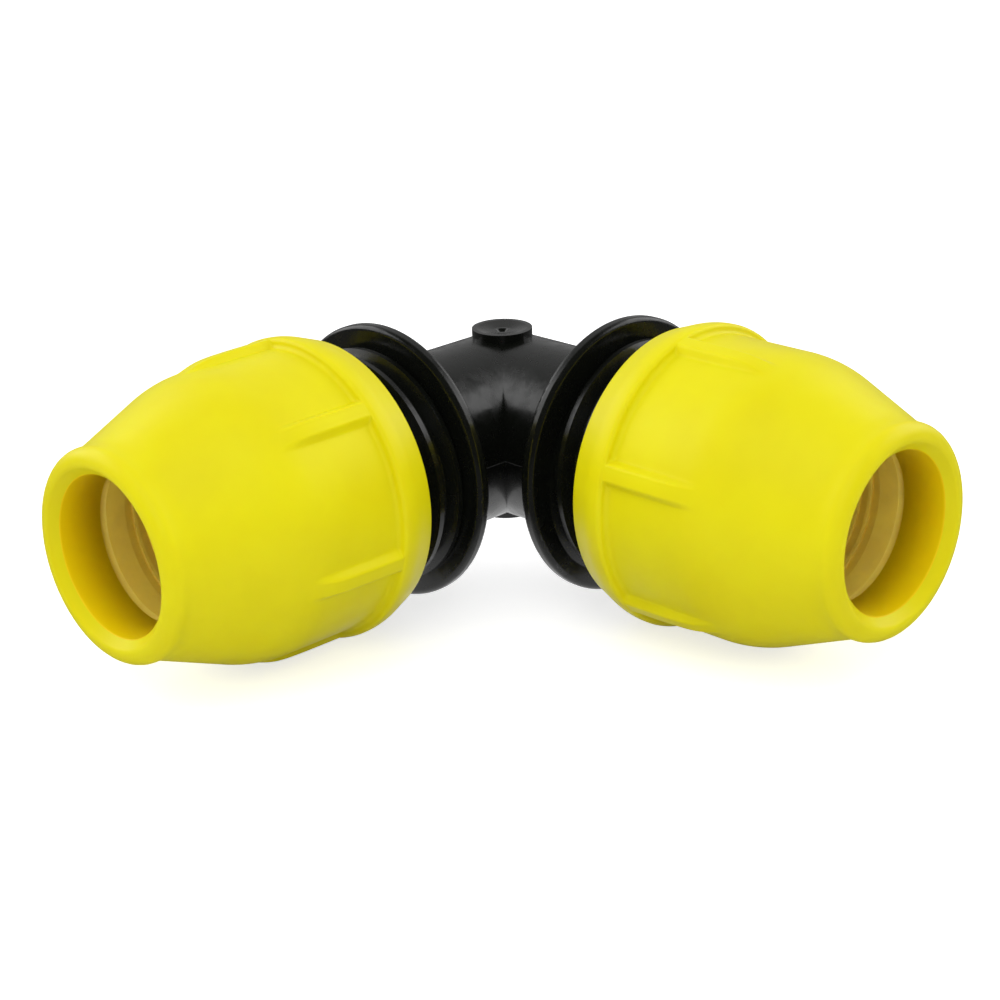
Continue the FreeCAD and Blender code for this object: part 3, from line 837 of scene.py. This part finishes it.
def bead_tree():
    """A round bead along the edges of another object."""
    tree, given = geometry_tree("bead", BEAD_SOCKETS)
    drawn = step(tree, "GeometryNodeObjectInfo", {"Object": given["Line"]}, "Geometry")
    curve = step(tree, "GeometryNodeMeshToCurve", {"Mesh": drawn})
    ring = step(tree, "GeometryNodeCurvePrimitiveCircle",
                {"Radius": given["Radius"], "Resolution": BEAD_SIDES})
    bead = step(tree, "GeometryNodeCurveToMesh",
                {"Curve": curve, "Profile Curve": ring, "Fill Caps": True})
    give(tree, finished(tree, bead, given["Outside"], True))
    return tree


bead_mesh = grow("parting_bead", bead_tree(),
                 {"Line": parting_line, "Radius": BEAD_RADIUS, "Outside": black})
add_piece("parting_bead", bead_mesh, "elbow", [])
bpy.data.objects.remove(parting_line)
print("bead of", len(bead_mesh.polygons), "faces")

# %% [markdown]
# The stage is one large white floor. Its own light shows to the camera, and to rays that mirror,
# so the ground stays white and still takes the object's soft shadow. The world is white in the
# same way and lights the object evenly.

# %% Floor and world
FLOOR_SIZE = 6.0
FLOOR_WHITE = (0.8, 0.8, 0.8)
FLOOR_GLOW = 0.66
WORLD_LIGHT = 0.44
WORLD_SEEN = 1.0
PURE_WHITE = (1, 1, 1, 1)


def where_seen(tree, unseen, seen):
    """One strength for rays that light things, another for rays that show the background."""
    path = add_node(tree, "ShaderNodeLightPath")
    total = path.outputs["Is Camera Ray"]
    for name in ("Is Glossy Ray", "Is Transmission Ray"):
        adder = add_node(tree, "ShaderNodeMath", operation="ADD", use_clamp=True)
        tree.links.new(total, adder.inputs[0])
        tree.links.new(path.outputs[name], adder.inputs[1])
        total = adder.outputs[0]
    return remap(tree, total, unseen, seen, start=0, end=1)


def stage_piece(name, points, faces, material):
    """A flat or open mesh round the object, dressed in one material."""
    mesh = bpy.data.meshes.new(name)
    mesh.from_pydata(points, [], faces)
    thing = bpy.data.objects.new(name, mesh)
    bpy.context.collection.objects.link(thing)
    dress(thing, material)
    return thing


def white_floor():
    """A dull white ground that glows for the rays that show it."""
    material, tree, shader = new_material("white_floor")
    set_inputs(shader, {
        "Base Color": (*FLOOR_WHITE, 1),
        "Roughness": 0.9,
        "Specular IOR Level": 0.1,
        "Emission Color": PURE_WHITE,
    })
    tree.links.new(where_seen(tree, 0, FLOOR_GLOW), shader.inputs["Emission Strength"])
    return material


def white_world():
    """A world that is white to look at and lights the object more softly."""
    world = bpy.data.worlds.new("white_world")
    bpy.context.scene.world = world
    world.use_nodes = True
    tree = world.node_tree
    background = next(node for node in tree.nodes if node.type == "BACKGROUND")
    set_inputs(background, {"Color": PURE_WHITE})
    tree.links.new(where_seen(tree, WORLD_LIGHT, WORLD_SEEN), background.inputs["Strength"])


half = FLOOR_SIZE / 2
floor_corners = [(-half, -half, 0), (half, -half, 0), (half, half, 0), (-half, half, 0)]
stage_piece("floor", floor_corners, [(0, 1, 2, 3)], white_floor())
white_world()
print("floor", FLOOR_SIZE, "m wide")

# %% [markdown]
# Polished black plastic shows little of its own colour: what it mirrors makes it look black or
# grey. A photographer hangs dark cloth round a shiny black part for that reason, and leaves it
# open towards the pale sweep behind. Here a round dark tent and a dark table cloth do the same.
# Only rays that mirror see them. The cloth is pale close under the elbow, so its underside shines.

# %% Dark tent and table cloth
TENT_RADIUS = 1.8
TENT_FOOT = -10 * MM
TENT_HEIGHT = 2.0
TENT_SIDES = 48
TENT_DARK = 0.03
TENT_OPEN = 0.4
OPEN_FROM = 0.35 * TENT_RADIUS
OPEN_FULLY = 0.85 * TENT_RADIUS
CLOTH_HEIGHT = 0.2 * MM
CLOTH_DARK = 0.13
CLOTH_PALE = 0.9
PALE_REACH = 40 * MM
DARK_REACH = 75 * MM


def mirrored_cloth(name, points, faces, strength_of):
    """A cloth that only rays that mirror can see, with a light that varies over it."""
    material, tree, _ = new_material(name)
    glow = add_node(tree, "ShaderNodeEmission")
    output = next(node for node in tree.nodes if node.type == "OUTPUT_MATERIAL")
    tree.links.new(strength_of(tree), glow.inputs["Strength"])
    tree.links.new(glow.outputs[0], output.inputs["Surface"])
    cloth = stage_piece(name, points, faces, material)
    cloth.visible_camera = False
    cloth.visible_diffuse = False
    cloth.visible_transmission = False
    cloth.visible_shadow = False


def tent_light(tree):
    """Dark all round, and pale where the tent opens behind the object."""
    behind = add_node(tree, "ShaderNodeVectorMath", operation="DOT_PRODUCT")
    tree.links.new(object_coordinates(tree), behind.inputs[0])
    behind.inputs[1].default_value = (-math.sin(VIEW_TURN), math.cos(VIEW_TURN), 0)
    return remap(tree, behind.outputs["Value"], TENT_DARK, TENT_OPEN, OPEN_FROM, OPEN_FULLY)


def table_light(tree):
    """Pale under the elbow and dark further out."""
    far = add_node(tree, "ShaderNodeVectorMath", operation="DISTANCE")
    tree.links.new(object_coordinates(tree), far.inputs[0])
    far.inputs[1].default_value = (crossing.x, crossing.y, 0)
    return remap(tree, far.outputs["Value"], CLOTH_PALE, CLOTH_DARK, PALE_REACH, DARK_REACH)


def tent_ring(height):
    """The tent's corners at one height."""
    turns = [math.tau * side / TENT_SIDES for side in range(TENT_SIDES)]
    return [(TENT_RADIUS * math.cos(turn), TENT_RADIUS * math.sin(turn), height)
            for turn in turns]


sides = range(TENT_SIDES)
walls = [(side, (side + 1) % TENT_SIDES, TENT_SIDES + (side + 1) % TENT_SIDES, TENT_SIDES + side)
         for side in sides]
lid = tuple(TENT_SIDES + side for side in sides)
mirrored_cloth("dark_tent", tent_ring(TENT_FOOT) + tent_ring(TENT_HEIGHT), walls + [lid],
               tent_light)
mirrored_cloth("table_cloth", tent_ring(CLOTH_HEIGHT), [tuple(sides)], table_light)
print("tent", TENT_RADIUS, "m in radius")

# %% [markdown]
# Two softboxes stand at the sides, a little behind the object, and draw one soft bright patch
# along each arm of the elbow. The lamps over the object and by the camera only light: they are
# hidden from rays that mirror, so that the satin nuts show no bright patch.

# %% Lamps


def around(turn, height, distance):
    """A place round the crossing: degrees to the right of the camera, degrees up, metres away."""
    bearing = math.radians(turn) + VIEW_TURN
    rise = math.radians(height)
    level = distance * math.cos(rise)
    return Vector((level * math.sin(bearing), -level * math.cos(bearing),
                   distance * math.sin(rise)))


def lamp(name, offset, size, watts, mirrored):
    """A rectangular soft lamp that points at the crossing."""
    data = bpy.data.lights.new(name, "AREA")
    data.shape = "RECTANGLE"
    data.size, data.size_y = size
    data.energy = watts
    light = bpy.data.objects.new(name, data)
    bpy.context.collection.objects.link(light)
    aim = (-offset).to_track_quat("-Z", "Y")
    light.matrix_world = Matrix.Translation(crossing + offset) @ aim.to_matrix().to_4x4()
    light.visible_glossy = mirrored


lamp("key_lamp", around(turn=-12, height=62, distance=0.95),
     size=(0.9, 0.9), watts=3.6, mirrored=False)
lamp("front_lamp", around(turn=0, height=26, distance=0.95),
     size=(0.5, 0.5), watts=1.3, mirrored=False)
for name, turn in (("left_softbox", -112), ("right_softbox", 112)):
    lamp(name, around(turn, height=29, distance=0.9), size=(0.8, 0.62), watts=3.2, mirrored=True)
bpy.context.scene.view_settings.view_transform = "Standard"
print("lamps", len(bpy.data.lights))
